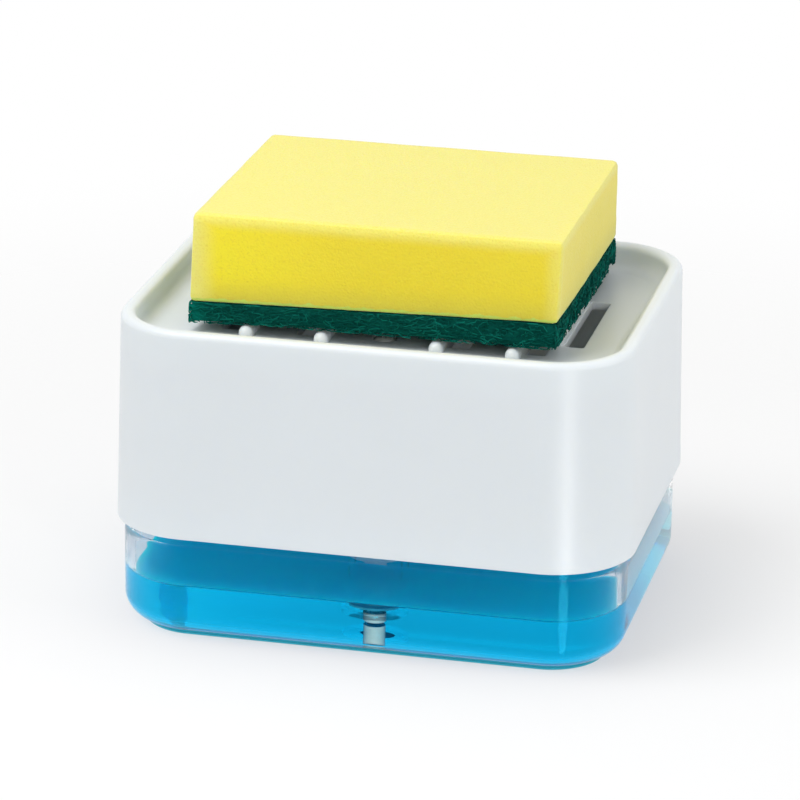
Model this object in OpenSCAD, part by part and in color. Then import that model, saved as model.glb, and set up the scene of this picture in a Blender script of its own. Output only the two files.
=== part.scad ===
// Soap pump caddy: a clear soap reservoir under a white press top with a drained sponge tray.
// Pressing the sponge pushes the whole top down, and a pump at its front lifts soap to the tray.
// Front faces -Y, the centre of the resting face is the origin, and lengths are millimetres.

/* [Outline] */
// Width over the rim of the press top
body_w = 140; // [126:1:180]
// Depth over the rim of the press top
body_d = 112.2; // [106:0.2:150]
// Plan radius of the rim's four corners
corner_r = 21.5; // [19:0.5:27]
// Height of the rim above the table
rim_z = 88; // [88:0.5:100]

/* [Press top] */
// Height of the skirt's lower edge above the table
skirt_z = 30.3; // [29:0.1:34]
// How far the skirt's lower edge stands outside the rim, the mould's draft
skirt_flare = 1.3; // [0.6:0.1:2]
// Wall of the skirt
skirt_t = 1.5; // [1.2:0.1:2]
// Width of the rim
rim_w = 4.2; // [3.8:0.1:6]
// Rounding of the rim's two edges
rim_round = 1.7; // [0.6:0.1:1.8]
// Depth of the tray floor below the rim
tray_depth = 7; // [5.5:0.1:8]
// Thickness of the tray floor
tray_t = 2.2; // [1.8:0.1:3]
// Hollow curve between the tray floor and its wall
tray_fillet = 4.5; // [1:0.1:4.8]

/* [Drain slots and ribs] */
// Width of a long drain slot
slot_w = 6.2; // [5:0.1:7.5]
// Length of a long drain slot
slot_l = 58; // [48:1:60]
// Distance from one long slot to the next, and of the first from the middle plane
slot_pitch = 20.7; // [18:0.1:21]
// Number of long slots on each side of the middle plane
slot_pairs = 2; // [1:1:2]
// Width of the short slot at each side
edge_slot_w = 5.3; // [4.5:0.1:5.8]
// Length of the short slot at each side
edge_slot_l = 40; // [28:1:41]
// Distance of the short slot from the middle plane
edge_slot_x = 50.5; // [49.8:0.1:52]
// Corner radius of every slot
slot_round = 0.9; // [0.3:0.1:2]
// Width of the raised rib beside each slot
rib_w = 3.8; // [2.6:0.1:4.2]
// Height of the ribs above the tray floor
rib_h = 3; // [2.2:0.1:3.2]
// How far a rib runs on past its slot at each end
rib_run = 6.5; // [1:0.1:7]
// Width of the bar rib between the last two slots
bar_rib_w = 2.6; // [1.6:0.1:2.8]

/* [Reservoir] */
// Height of the tub's upper edge
tub_z = 40; // [38:0.5:41]
// Wall of the tub where it shows
tub_wall = 2.8; // [2.4:0.1:3.2]
// Thickness of the tub's floor
tub_floor_t = 1.6; // [1.2:0.1:2.2]
// Outer curve between the tub's wall and its underside
tub_base_r = 7; // [4:0.5:9]
// Inner curve between the tub's wall and its floor
tub_floor_r = 4.6; // [2:0.1:6]
// Height at which the tub steps in behind the skirt
shoulder_z = 27.5; // [24:0.5:28.5]
// Depth of that step
shoulder_in = 1; // [0.6:0.1:1.2]
// Distance of the foot ring inside the tub's wall
foot_inset = 5.7; // [4:0.1:7]
// Width of the foot ring
foot_w = 2.6; // [2:0.1:4]
// Height at which the tub's outer curve would meet the underside
foot_h = 1.2; // [0.8:0.1:1.6]
// Clear height under the tub inside the foot ring
underside_z = 0.8; // [0.5:0.1:1.2]
// Level of the soap above the table
fill_z = 15.3; // [12:0.1:26]

/* [Deck] */
// Thickness of the deck that closes the tub
deck_t = 2; // [1.6:0.1:2.6]
// Depth of the locating wall inside the tub
deck_plug_h = 3.5; // [2:0.1:5]
// Thickness of the locating wall
deck_plug_t = 1.5; // [1.2:0.1:2.4]
// Height of the pump's neck above the deck
neck_h = 7.2; // [6:0.1:8]
// Bore of the neck
neck_bore = 19.2; // [19:0.1:20]
// Wall of the neck
neck_wall = 2.4; // [2:0.1:3]
// Diameter of the two guide posts behind the pump
post_d = 8; // [6:0.1:9]
// Height of the guide posts above the deck
post_h = 24; // [22:0.5:25]
// Distance of each guide post from the side of the rim
post_side_inset = 13; // [12:0.5:15]
// Distance of the guide posts from the back of the rim
post_back_inset = 29.1; // [28:0.1:30]
// Length of the guide sleeves under the tray
sleeve_l = 23; // [20:0.5:25]
// Wall of the guide sleeves
sleeve_wall = 1.8; // [1.4:0.1:2]

/* [Pump] */
// Distance of the pump's axis behind the front of the rim
pump_inset = 30.5; // [29:0.1:32]
// Stroke of the pump
stroke = 8; // [5:0.5:8]
// Bore of the pump cylinder
cyl_bore = 14; // [13:0.1:14.4]
// Wall of the pump cylinder
cyl_wall = 1.4; // [1.1:0.1:1.6]
// Height of the cylinder's lower face above the table
cyl_z = 5.6; // [5:0.1:6]
// Diameter of the disc round the cylinder's foot
cyl_disc_d = 18.4; // [18:0.1:18.6]
// Thickness of that disc
cyl_disc_t = 1.2; // [0.8:0.1:1.6]
// Diameter of the flange that hangs the cylinder in the neck
cyl_flange_d = 23; // [22:0.1:23.6]
// Thickness of that flange
cyl_flange_t = 1.6; // [1.2:0.1:2]
// Thickness of the gasket under the flange
gasket_t = 0.8; // [0.5:0.1:1.2]
// Outer diameter of the dip tube
dip_d = 6.1; // [5.4:0.1:6.6]
// Wall of the dip tube
dip_wall = 1; // [0.8:0.05:1.2]
// Gap between the dip tube and the tub's floor
dip_gap = 0.6; // [0.3:0.1:1]
// Diameter of the two check balls
ball_d = 3; // [2.8:0.1:3.2]
// Travel of each check ball
ball_lift = 0.8; // [0.4:0.1:0.8]
// Diameter of each ball's seat
ball_seat_d = 2.2; // [1.8:0.1:2.4]

/* [Plunger] */
// Outer diameter of the stem
stem_d = 6; // [5.6:0.1:6.2]
// Bore of the stem
stem_bore = 4; // [3.8:0.1:4.2]
// Height of the stem's lower tip at rest
tip_z = 19; // [18.9:0.1:20]
// Length of the tip below the piston seal
tip_l = 2.5; // [2:0.1:3]
// Length of the piston seal
seal_l = 6.5; // [5:0.1:7]
// Diameter of the flange that carries the press top
seat_d = 16; // [14:0.5:18]
// Thickness of that flange
seat_t = 1.5; // [1.2:0.1:2]
// Length of the boss under the tray that stands on the flange
boss_l = 2.4; // [1.6:0.1:3]
// Length of the nozzle's plug in the stem
nozzle_plug_l = 3.4; // [2.4:0.1:4]
// How far the nozzle's dome stands above the tray floor
nozzle_rise = 0.5; // [0.2:0.1:1]
// Bore of the nozzle
nozzle_bore = 1.8; // [1.2:0.1:2]
// Gap round the nozzle in the tray floor
nozzle_gap = 0.4; // [0.3:0.05:0.6]

/* [Collar and spring] */
// Outer diameter of the screw collar
collar_d = 30; // [29:0.5:32]
// Height of the screw collar
collar_h = 12.2; // [12:0.1:13]
// Thickness of the collar's top
collar_top_t = 1.6; // [1.2:0.1:2]
// Number of grip ribs round the collar
collar_ribs = 24; // [12:1:36]
// Mean diameter of the return spring
spring_d = 10.6; // [10:0.1:11]
// Wire of the return spring
spring_wire = 1; // [0.8:0.1:1.2]
// Number of turns of the return spring
spring_turns = 6; // [4:1:7]

/* [Sponge] */
// Length of the sponge across the tray
sponge_l = 101.6; // [85:0.2:105]
// Width of the sponge from front to back
sponge_w = 80.8; // [65:0.2:84]
// Thickness of the yellow foam
foam_t = 22.8; // [15:0.1:35]
// Thickness of the scouring pad
pad_t = 7.2; // [4:0.1:9]
// Share of the tray's spare length by which the sponge lies left of the middle
sponge_left_share = 0.045; // [-0.06:0.005:0.06]
// Share of the tray's spare depth by which the sponge lies behind the middle
sponge_back_share = 0.274; // [0:0.005:0.28]
// Corner radius of the sponge
sponge_r = 2.4; // [1:0.1:6]

/* [Fits] */
// Gap between the tub and the skirt's lower edge
tub_gap = 0.4; // [0.3:0.05:0.6]
// Radial clearance of sliding pieces
slide_gap = 0.06; // [0.02:0.01:0.1]
// Gap where one piece rests on another and can be lifted off
rest_gap = 0.1; // [0.05:0.05:0.2]
// Gap between the sponge and the ribs
soft_gap = 0.3; // [0.2:0.05:0.5]
// Gap between the soap and the walls that hold it
liquid_gap = 0.1; // [0.05:0.05:0.2]
// Radial clearance round loose pieces such as the check balls
loose_gap = 0.3; // [0.2:0.05:0.4]
// Gap between a check ball and its seat or its stop
ball_gap = 0.05; // [0.02:0.01:0.1]

/* [Hidden] */
$fn = 96;
// Overrun of a cut past the face that it opens
cut = 1;

core_w = body_w - 2 * corner_r;
core_d = body_d - 2 * corner_r;
pump_y = body_d / 2 - pump_inset;
post_x = body_w / 2 - post_side_inset;
post_y = body_d / 2 - post_back_inset;
sponge_x = -(body_w - 2 * rim_w - sponge_l) * sponge_left_share;
sponge_y = (body_d - 2 * rim_w - sponge_w) * sponge_back_share;
tray_z = rim_z - tray_depth;
tray_under_z = tray_z - tray_t;
round_z = rim_z - rim_round;
skirt_r = corner_r + skirt_flare;
tub_r = skirt_r - skirt_t - tub_gap;
tub_in_r = tub_r - tub_wall;
tub_floor_z = underside_z + tub_floor_t;
deck_z = tub_z + deck_t;
neck_d = neck_bore + 2 * neck_wall;
neck_z = deck_z + neck_h;
cyl_d = cyl_bore + 2 * cyl_wall;
flange_z = neck_z + gasket_t;
cyl_top_z = flange_z + cyl_flange_t;
seal_z = tip_z + tip_l;
seal_top_z = seal_z + seal_l;
rib_r = rib_w / 2;
// Middle of the bar between the last long slot and the short one
bar_x = (slot_pairs * slot_pitch + slot_w / 2 + edge_slot_x - edge_slot_w / 2) / 2;
// Height of a check ball's centre above the plane of its seat
ball_rise = sqrt(pow(ball_d / 2, 2) - pow(ball_seat_d / 2, 2));
inlet_seat_z = cyl_z + cyl_disc_t / 2;
inlet_ball_z = inlet_seat_z + ball_rise + ball_gap;
chamber_z = inlet_seat_z + ball_d / 2;
// Height of the spigot's lower end inside the dip tube
spigot_z = tub_floor_z + dip_gap + dip_wall / 2;
guide_top_z = cyl_top_z + cyl_flange_t;
// The boss under the tray stands on the stem's flange
boss_z = tray_under_z - boss_l;
seat_top_z = boss_z - rest_gap;
nozzle_z = tray_under_z;
outlet_ball_z = nozzle_z - nozzle_plug_l - ball_lift - ball_d / 2 - ball_gap;
outlet_seat_z = outlet_ball_z - ball_rise - ball_gap;
pad_z = tray_z + rib_h + soft_gap;

// Sweeps a profile, drawn outwards from the corners' centre line, round a rounded rectangle.
module sweep_round(w, d) {
    for (i = [0, 1], j = [0, 1]) {
        translate([(i - 0.5) * w, (j - 0.5) * d, 0])
            rotate(j == 1 ? (1 - i) * 90 : 180 + i * 90) rotate_extrude(angle = 90) children();
    }
    for (turn = [0, 180]) {
        rotate(turn) translate([w / 2, d / 2, 0]) rotate([90, 0, 0]) linear_extrude(d) children();
        rotate(turn + 90) translate([d / 2, w / 2, 0]) rotate([90, 0, 0]) linear_extrude(w) children();
    }
}

// A box centred in plan, from one height to another.
module slab(w, d, low, high) {
    translate([-w / 2, -d / 2, low]) cube([w, d, high - low]);
}

// A rectangle from one corner to the opposite one.
module span(low, high) {
    translate(low) square([high[0] - low[0], high[1] - low[1]]);
}

// A rectangle with rounded corners, centred.
module rounded_rect(w, d, r) {
    square([w - 2 * r, d], center = true);
    square([w, d - 2 * r], center = true);
    for (sx = [-1, 1], sy = [-1, 1])
        translate([sx * (w / 2 - r), sy * (d / 2 - r)]) circle(r);
}

// A ring between two heights.
module ring(d, bore, low, high) {
    translate([0, 0, low]) difference() {
        cylinder(d = d, h = high - low);
        translate([0, 0, -cut]) cylinder(d = bore, h = high - low + 2 * cut);
    }
}

// Places what belongs to the pump on its axis.
module at_pump() {
    translate([0, -pump_y, 0]) children();
}

// Outer and inner outlines of the tub, drawn outwards from the corners' centre line.
module tub_profile() {
    difference() {
        union() {
            span([0, foot_h], [tub_r - tub_base_r, shoulder_z]);
            span([0, foot_h + tub_base_r], [tub_r, shoulder_z - shoulder_in / 2]);
            span([0, shoulder_z - shoulder_in], [tub_r - shoulder_in / 2, shoulder_z]);
            translate([tub_r - tub_base_r, foot_h + tub_base_r]) circle(tub_base_r);
            translate([tub_r - shoulder_in / 2, shoulder_z - shoulder_in / 2]) circle(shoulder_in / 2);
            span([0, shoulder_z - shoulder_in], [tub_r - shoulder_in, tub_z]);
            span([0, underside_z], [tub_r - foot_inset, foot_h + tub_base_r]);
            span([tub_r - foot_inset - foot_w, 0], [tub_r - foot_inset, foot_h + tub_base_r]);
        }
        tub_room(0, tub_z + cut);
    }
}

// The room inside the tub up to a height, drawn in by a gap.
module tub_room(gap, high) {
    span([0, tub_floor_z + gap], [tub_in_r - tub_floor_r, high]);
    span([0, tub_floor_z + tub_floor_r], [tub_in_r - gap, high]);
    translate([tub_in_r - tub_floor_r, tub_floor_z + tub_floor_r]) circle(tub_floor_r - gap);
}

module reservoir() {
    color([0.86, 0.93, 0.96, 0.35]) {
        sweep_round(core_w, core_d) tub_profile();
        slab(core_w, core_d, underside_z, tub_floor_z);
    }
}

module liquid_soap() {
    color([0.0, 0.62, 0.86, 0.7]) difference() {
        union() {
            sweep_round(core_w, core_d) tub_room(liquid_gap, fill_z);
            slab(core_w, core_d, tub_floor_z + liquid_gap, fill_z);
        }
        at_pump() cylinder(d = cyl_disc_d + 2 * loose_gap, h = fill_z + cut);
    }
}

// Lid of the tub: it is seated on the tub's edge and carries the pump's neck and the guide posts.
module reservoir_deck() {
    plug_r = tub_in_r - slide_gap;
    color([0.93, 0.94, 0.94]) difference() {
        union() {
            sweep_round(core_w, core_d) {
                span([0, tub_z], [tub_r - shoulder_in, deck_z]);
                span([plug_r - deck_plug_t, tub_z - deck_plug_h], [plug_r, deck_z]);
            }
            slab(core_w, core_d, tub_z, deck_z);
            at_pump() translate([0, 0, tub_z]) cylinder(d = neck_d, h = neck_z - tub_z);
            for (sx = [-1, 1]) translate([sx * post_x, post_y, tub_z]) guide_post();
        }
        at_pump() translate([0, 0, tub_z - cut]) cylinder(d = neck_bore, h = neck_z - tub_z + 2 * cut);
    }
}

// Post with a coned tip that leads it into its sleeve.
module guide_post() {
    lead = post_d / 8;
    cylinder(d = post_d, h = deck_t + post_h - lead);
    translate([0, 0, deck_t + post_h - lead]) cylinder(d1 = post_d, d2 = post_d - 2 * lead, h = lead);
}

module neck_gasket() {
    color([0.75, 0.77, 0.78]) at_pump() ring(neck_d, cyl_d + loose_gap, neck_z, flange_z);
}

// Cylinder of the pump, hung in the neck by its flange, with a spigot at its foot for the dip tube.
module pump_cylinder() {
    color([0.88, 0.94, 0.96, 0.5]) at_pump() {
        ring(cyl_d, cyl_bore, chamber_z, cyl_top_z);
        ring(cyl_flange_d, cyl_bore, flange_z, cyl_top_z);
        difference() {
            union() {
                translate([0, 0, cyl_z]) cylinder(d = cyl_d, h = chamber_z - cyl_z);
                translate([0, 0, cyl_z]) cylinder(d = cyl_disc_d, h = cyl_disc_t);
                translate([0, 0, spigot_z]) cylinder(d = dip_d - 2 * dip_wall, h = inlet_seat_z - spigot_z);
            }
            translate([0, 0, spigot_z - cut]) cylinder(d = ball_seat_d, h = chamber_z - spigot_z + 2 * cut);
            translate([0, 0, inlet_seat_z]) cylinder(d = ball_d + 2 * loose_gap, h = ball_d);
        }
    }
}

module inlet_ball() {
    color([0.72, 0.73, 0.75]) at_pump() translate([0, 0, inlet_ball_z]) sphere(d = ball_d);
}

// Ring pressed into the cylinder's foot, whose lip keeps the inlet ball near its seat.
module ball_cage() {
    lip_d = ball_d - 2 * loose_gap;
    contact = sqrt(pow(ball_d / 2, 2) - pow(lip_d / 2, 2));
    lip_z = inlet_ball_z + ball_lift + contact + ball_gap;
    color([0.94, 0.95, 0.95]) at_pump() {
        ring(cyl_bore, ball_d + 2 * loose_gap, chamber_z, chamber_z + cyl_disc_t / 2);
        ring(cyl_bore / 2, ball_d + 2 * loose_gap, chamber_z, lip_z);
        ring(cyl_bore / 2, lip_d, lip_z, lip_z + cyl_disc_t / 2);
    }
}

module dip_tube() {
    color([0.85, 0.9, 0.92]) at_pump() ring(dip_d, dip_d - 2 * dip_wall, tub_floor_z + dip_gap, cyl_z);
}

// Bush closed into the cylinder's mouth: it guides the stem and stops the piston at the top.
module stem_guide() {
    color([0.93, 0.94, 0.94]) at_pump() {
        ring(cyl_bore, cyl_bore - 2 * cyl_wall, seal_top_z + soft_gap, neck_z);
        ring(cyl_bore, stem_d + 2 * slide_gap, neck_z, cyl_top_z);
        ring(cyl_flange_d - 2 * gasket_t, stem_d + 2 * slide_gap, cyl_top_z, cyl_top_z + cyl_flange_t);
    }
}

// Screw collar with moulded grip ribs, closed over the flange and the guide.
module pump_collar() {
    rib = collar_d / 30;
    top_z = guide_top_z + rest_gap + collar_top_t;
    low_z = top_z - collar_h;
    color([0.95, 0.96, 0.96]) at_pump() {
        difference() {
            union() {
                translate([0, 0, low_z]) cylinder(d = collar_d, h = collar_h - rib);
                translate([0, 0, top_z - rib]) cylinder(d1 = collar_d, d2 = collar_d - 2 * rib, h = rib);
                for (i = [0:collar_ribs - 1]) rotate(i * 360 / collar_ribs)
                    translate([collar_d / 2, 0, low_z]) cylinder(d = rib, h = collar_h - 2 * rib);
            }
            translate([0, 0, low_z - cut]) cylinder(d = neck_d + 2 * slide_gap, h = collar_h - collar_top_t + cut);
            translate([0, 0, low_z]) cylinder(d = spring_d + spring_wire + 2 * loose_gap, h = collar_h + cut);
        }
    }
}

// Compression spring between the guide and the stem's flange, its end turns lying flat.
module return_spring() {
    low = guide_top_z + spring_wire / 2;
    high = seat_top_z - seat_t - spring_wire / 2;
    rings = 12;
    sides = 6;
    steps = spring_turns * rings;
    // Share of the height reached after a share of the turns: the first and the last turn stay closed
    function climb(s) = let (turn = s * spring_turns, free = spring_turns - 2)
        turn <= 1 ? turn * flat_share : turn >= spring_turns - 1 ? 1 - (spring_turns - turn) * flat_share
        : flat_share + (turn - 1) / free * (1 - 2 * flat_share);
    flat_share = spring_wire * 1.15 / (high - low);
    points = [for (i = [0:steps], k = [0:sides - 1])
        let (a = 360 * i / rings, b = 360 * k / sides, r = spring_d / 2 + spring_wire / 2 * cos(b))
        [r * cos(a), r * sin(a), low + (high - low) * climb(i / steps) + spring_wire / 2 * sin(b)]];
    walls = [for (i = [0:steps - 1], k = [0:sides - 1], half = [0, 1])
        let (a = i * sides + k, b = i * sides + (k + 1) % sides)
        half == 0 ? [a, a + sides, b] : [b, a + sides, b + sides]];
    ends = [for (k = [1:sides - 2], end = [0, 1])
        end == 0 ? [0, k, k + 1] : [steps * sides, steps * sides + k + 1, steps * sides + k]];
    color([0.78, 0.8, 0.82]) at_pump() polyhedron(points, concat(walls, ends));
}

// Tube that carries soap up from the piston, with the outlet ball's seat and the press top's flange.
module stem_tube() {
    neck_low_z = outlet_seat_z - ball_d / 2;
    color([0.94, 0.95, 0.95]) at_pump() {
        difference() {
            union() {
                translate([0, 0, seal_top_z]) cylinder(d = stem_d, h = nozzle_z - seal_top_z);
                translate([0, 0, seat_top_z - seat_t]) cylinder(d = seat_d, h = seat_t);
            }
            translate([0, 0, seal_top_z - cut]) cylinder(d = stem_bore, h = neck_low_z - seal_top_z + cut);
            translate([0, 0, neck_low_z - cut]) cylinder(d = ball_seat_d, h = ball_d + cut);
            translate([0, 0, outlet_seat_z]) cylinder(d = stem_bore, h = nozzle_z - outlet_seat_z + cut);
        }
    }
}

module outlet_ball() {
    color([0.72, 0.73, 0.75]) at_pump()
        translate([0, 0, outlet_ball_z]) sphere(d = ball_d);
}

// Nozzle pressed into the stem: its domed head is the small white button in the tray floor.
module outlet_nozzle() {
    head_z = tray_z + nozzle_rise;
    dome_r = (pow(stem_d / 2, 2) + pow(2 * nozzle_rise, 2)) / (4 * nozzle_rise);
    color([0.96, 0.96, 0.96]) at_pump() difference() {
        union() {
            translate([0, 0, nozzle_z - nozzle_plug_l]) cylinder(d = stem_bore, h = nozzle_plug_l + tray_t / 2);
            intersection() {
                translate([0, 0, nozzle_z]) cylinder(d = stem_d, h = head_z - nozzle_z);
                translate([0, 0, head_z - dome_r]) sphere(dome_r);
            }
        }
        translate([0, 0, nozzle_z - nozzle_plug_l - cut])
            cylinder(d = nozzle_bore, h = head_z - nozzle_z + nozzle_plug_l + 2 * cut);
    }
}

// Rod at the stem's foot: its tip shows in the soap, and its neck carries the piston seal.
module piston_rod() {
    neck = stem_bore + stem_bore / 10;
    color([0.97, 0.97, 0.97]) at_pump() difference() {
        union() {
            translate([0, 0, tip_z]) cylinder(d = stem_d, h = tip_l);
            translate([0, 0, seal_z]) cylinder(d = neck, h = seal_l);
            translate([0, 0, seal_top_z]) cylinder(d = stem_bore, h = stem_d);
        }
        translate([0, 0, tip_z - cut]) cylinder(d = ball_seat_d, h = tip_l + seal_l + stem_d + 2 * cut);
    }
}

// Cup seal: a hub on the rod's neck and a lip at each end that wipes the cylinder.
module piston_seal() {
    neck = stem_bore + stem_bore / 10;
    lip = seal_l / 4;
    color([0.86, 0.88, 0.9]) at_pump() {
        ring(stem_d + 2 * cyl_wall, neck, seal_z, seal_top_z);
        for (z = [seal_z, seal_top_z - lip]) ring(cyl_bore - 2 * slide_gap, neck, z, z + lip);
    }
}

// Profile of the rim, its skirt and the edge of the tray, drawn outwards from the corners' centre line.
module top_profile() {
    well_r = corner_r - rim_w;
    polygon([[skirt_r - skirt_t, skirt_z], [skirt_r, skirt_z],
        [corner_r, round_z], [corner_r - skirt_t, round_z]]);
    span([well_r, tray_under_z], [corner_r - skirt_t / 2, round_z]);
    for (u = [well_r + rim_round, corner_r - rim_round]) translate([u, round_z]) circle(rim_round);
    span([well_r + rim_round, round_z], [corner_r - rim_round, rim_z]);
    span([0, tray_under_z], [corner_r - skirt_t, tray_z]);
    difference() {
        span([well_r - tray_fillet, tray_z], [well_r, tray_z + tray_fillet]);
        translate([well_r - tray_fillet, tray_z + tray_fillet]) circle(tray_fillet);
    }
}

// Raised rib with a round back and round noses, standing on the tray floor.
module tray_rib(width, long) {
    r = width / 2;
    top = tray_z + rib_h - r;
    for (sy = [-1, 1]) translate([0, sy * (long / 2 - r), 0]) {
        translate([0, 0, tray_z - tray_t / 2]) cylinder(r = r, h = top - tray_z + tray_t / 2);
        translate([0, 0, top]) sphere(r);
    }
    translate([0, long / 2 - r, top]) rotate([90, 0, 0]) cylinder(r = r, h = long - 2 * r);
    slab(width, long - 2 * r, tray_z - tray_t / 2, top);
}

// The white cover: skirt, rim and drained sponge tray are one moulding that slides down on the tub.
module press_top() {
    color([0.93, 0.94, 0.95]) difference() {
        union() {
            sweep_round(core_w, core_d) top_profile();
            slab(core_w, core_d, tray_under_z, tray_z);
            for (sx = [-1, 1]) {
                for (i = [1:slot_pairs])
                    translate([sx * (i * slot_pitch - slot_w / 2 - rib_r), 0, 0])
                        tray_rib(rib_w, slot_l + 2 * rib_run);
                translate([sx * bar_x, 0, 0]) tray_rib(bar_rib_w, edge_slot_l);
                translate([sx * post_x, post_y, tray_z - tray_t / 2 - sleeve_l])
                    cylinder(d = post_d + 2 * slide_gap + 2 * sleeve_wall, h = sleeve_l);
            }
            at_pump() translate([0, 0, boss_z])
                cylinder(d = seat_d - 2 * rim_round, h = boss_l + tray_t / 2);
        }
        for (sx = [-1, 1]) {
            for (i = [1:slot_pairs]) drain_slot(sx * i * slot_pitch, slot_w, slot_l);
            drain_slot(sx * edge_slot_x, edge_slot_w, edge_slot_l);
            translate([sx * post_x, post_y, tray_under_z - sleeve_l - cut])
                cylinder(d = post_d + 2 * slide_gap, h = sleeve_l + cut);
        }
        at_pump() translate([0, 0, boss_z - cut])
            cylinder(d = stem_d + 2 * nozzle_gap, h = boss_l + tray_t + 2 * cut);
    }
}

module drain_slot(x, w, l) {
    translate([x, 0, tray_under_z - cut]) linear_extrude(tray_t + rib_h + 2 * cut)
        rounded_rect(w, l, slot_round);
}

// A sponge layer: a rounded block whose upper or lower edge is softened.
module sponge_layer(low, high, soft, soft_top) {
    translate([sponge_x, sponge_y, 0]) {
        sweep_round(sponge_l - 2 * sponge_r, sponge_w - 2 * sponge_r) {
            span([0, low], [sponge_r - soft, high]);
            span([0, soft_top ? low : low + soft], [sponge_r, soft_top ? high - soft : high]);
            translate([sponge_r - soft, soft_top ? high - soft : low + soft]) circle(soft);
        }
        slab(sponge_l - 2 * sponge_r, sponge_w - 2 * sponge_r, low, high);
    }
}

module scour_pad() {
    color([0.05, 0.36, 0.3]) sponge_layer(pad_z, pad_z + pad_t, sponge_r / 3, false);
}

module sponge_foam() {
    color([0.96, 0.9, 0.3]) sponge_layer(pad_z + pad_t, pad_z + pad_t + foam_t, sponge_r / 2, true);
}

reservoir();
reservoir_deck();
liquid_soap();
neck_gasket();
pump_cylinder();
inlet_ball();
ball_cage();
dip_tube();
stem_guide();
pump_collar();
return_spring();
stem_tube();
piston_rod();
piston_seal();
outlet_ball();
outlet_nozzle();
press_top();
scour_pad();
sponge_foam();
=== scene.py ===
"""Soap pump caddy: a clear soap reservoir under a white press top that carries a kitchen sponge."""

import math
import random

import bmesh
import bpy
from mathutils import Matrix, Vector, noise


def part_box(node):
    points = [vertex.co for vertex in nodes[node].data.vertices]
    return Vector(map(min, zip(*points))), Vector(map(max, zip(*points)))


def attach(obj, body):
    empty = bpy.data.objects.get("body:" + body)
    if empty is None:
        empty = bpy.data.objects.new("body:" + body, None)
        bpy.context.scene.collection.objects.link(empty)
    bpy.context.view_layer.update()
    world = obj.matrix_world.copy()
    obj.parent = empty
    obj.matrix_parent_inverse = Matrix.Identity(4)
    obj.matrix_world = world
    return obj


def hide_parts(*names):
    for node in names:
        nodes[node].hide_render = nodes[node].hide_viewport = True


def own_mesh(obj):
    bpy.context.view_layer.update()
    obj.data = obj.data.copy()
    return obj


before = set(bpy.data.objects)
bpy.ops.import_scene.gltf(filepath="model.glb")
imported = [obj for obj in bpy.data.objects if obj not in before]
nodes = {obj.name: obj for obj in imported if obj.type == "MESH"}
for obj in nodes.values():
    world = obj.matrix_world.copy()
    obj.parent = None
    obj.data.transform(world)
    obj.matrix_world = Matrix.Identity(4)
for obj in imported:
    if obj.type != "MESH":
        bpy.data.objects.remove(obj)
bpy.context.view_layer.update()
MM = 0.001


# Reservoir
# A clear styrene tub, injection moulded, with a foot ring below and a small step behind the skirt.
# Its outline is swept round the rounded rectangle, so that its walls bend light evenly.

TUB_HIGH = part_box("reservoir")[1]
TUB_CORNER = 20.9 * MM
TUB_WALL = 2.8 * MM
TUB_FLOOR = 2.4 * MM
TUB_UNDERSIDE = 0.8 * MM
TUB_BASE_ROUND = 7 * MM
TUB_FLOOR_ROUND = 4.6 * MM
FOOT_IN = 5.7 * MM
FOOT_WIDTH = 2.6 * MM
FOOT_HEIGHT = 1.2 * MM
FOOT_EDGE = 0.35 * MM
SHOULDER = 27.5 * MM
SHOULDER_IN = 1.0 * MM
SHOULDER_SOFT = 2.0 * MM
SOAP_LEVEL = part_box("liquid_soap")[1].z
MENISCUS = 0.35 * MM
# The straight runs of the walls, from the middle to where the corners start.
RUN_X = TUB_HIGH.x - TUB_CORNER
RUN_Y = TUB_HIGH.y - TUB_CORNER
CORNER_STEPS = 20
BASE_STEPS = 16
FLOOR_STEPS = 12
SHOULDER_STEPS = 7
FOOT_STEPS = 4
# A face is level when its normal is at least this upright.
LEVEL = 0.98
# Soap's index rather than styrene's own, because light crosses the wall and the soap as one body.
STYRENE_INDEX = 1.33
CLEAR_TONES = ((0.985, 0.992, 0.998), (0.995, 0.998, 1.0))
CLEAR_GLINT = (0.05, 0.70, 0.95, 1)
CLEAR_RIPPLE = 0.02 * MM
# Painted light: faces of the foot seen from outside turn to the soap's blue, which the clear foot shows by
# bending light.
PAINTED_SOAP_BLUE = (0.002, 0.22, 0.36)
PAINTED_BLUE_TOP = 3.1 * MM
PAINTED_BLUE_FADE = 0.8 * MM
# The share of light that leaves the plastic unbent, so that the corners don't fill with mirror images.
STRAIGHT_OUT = 0.4
# A face as good as clear, though not wholly clear. One that is wholly clear would count
# as unseen.
CLEAR = (0.99, 0.99, 0.99, 1)
LAMP_LIGHT_THROUGH = (0.90, 0.96, 1.0)


def arc(centre, radius, start, end, steps):
    """Points of an arc in an outline, from one angle to another in degrees."""
    angles = [math.radians(start + (end - start) * i / steps) for i in range(steps + 1)]
    return [(centre[0] + radius * math.cos(a), centre[1] + radius * math.sin(a)) for a in angles]


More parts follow.
